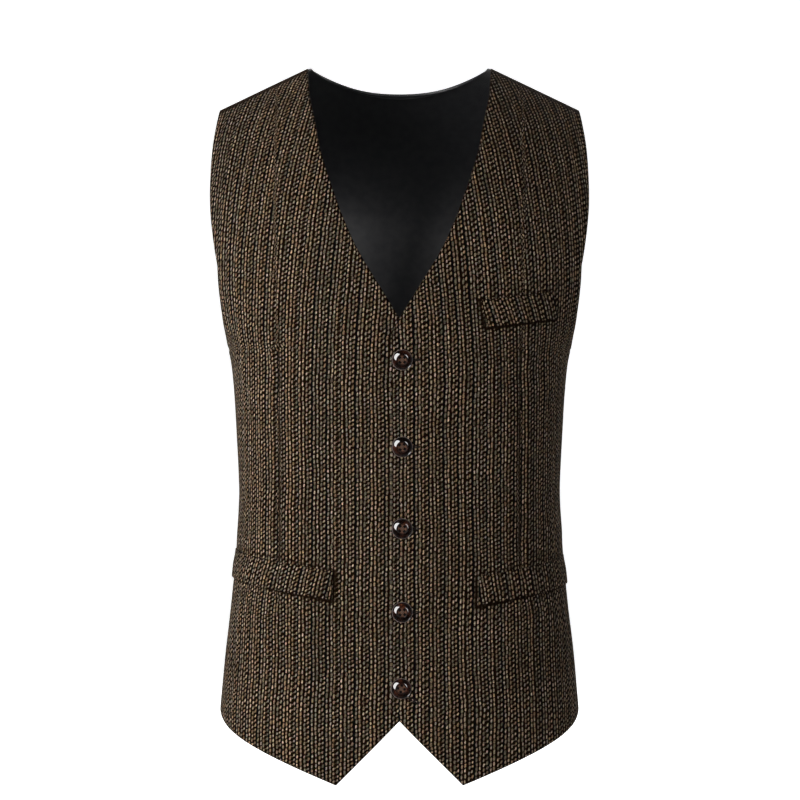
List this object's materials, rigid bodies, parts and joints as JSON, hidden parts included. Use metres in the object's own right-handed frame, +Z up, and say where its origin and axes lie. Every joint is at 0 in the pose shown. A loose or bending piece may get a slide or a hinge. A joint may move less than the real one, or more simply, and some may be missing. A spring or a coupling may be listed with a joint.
{
  "type": "waistcoat",
  "caption": "Fitted single-breasted tweed waistcoat, worn shape with no wearer, V neck, pointed hem, dark buttons, chest pocket and lower pockets, plain black back.",
  "frame": {"origin": "midway between the neck ends of the two shoulder seams, where the wearer's shoulders hold the garment up", "axes": "+Z up from the hem to the shoulders, -Y out of the front, +X towards the wearer's left side"},
  "size_m": [0.3542, 0.2382, 0.6703],
  "materials": {
    "tweed": "coarse woven tweed in browns and greys, in vertical rows of short dashes with a cord row every fourth",
    "back_cloth": "smooth black cloth with a slight sheen",
    "button": "polished dark oxblood, mottled like tortoiseshell"
  },
  "bodies": {
    "root": {"front_left": "tweed", "front_right": "tweed", "back": "back_cloth", "chest_welt": "tweed", "pocket_welt_left": "tweed", "pocket_welt_right": "tweed", "button_1": "button", "button_2": "button", "button_3": "button", "button_4": "button", "button_5": "button"}
  },
  "joints": []
}
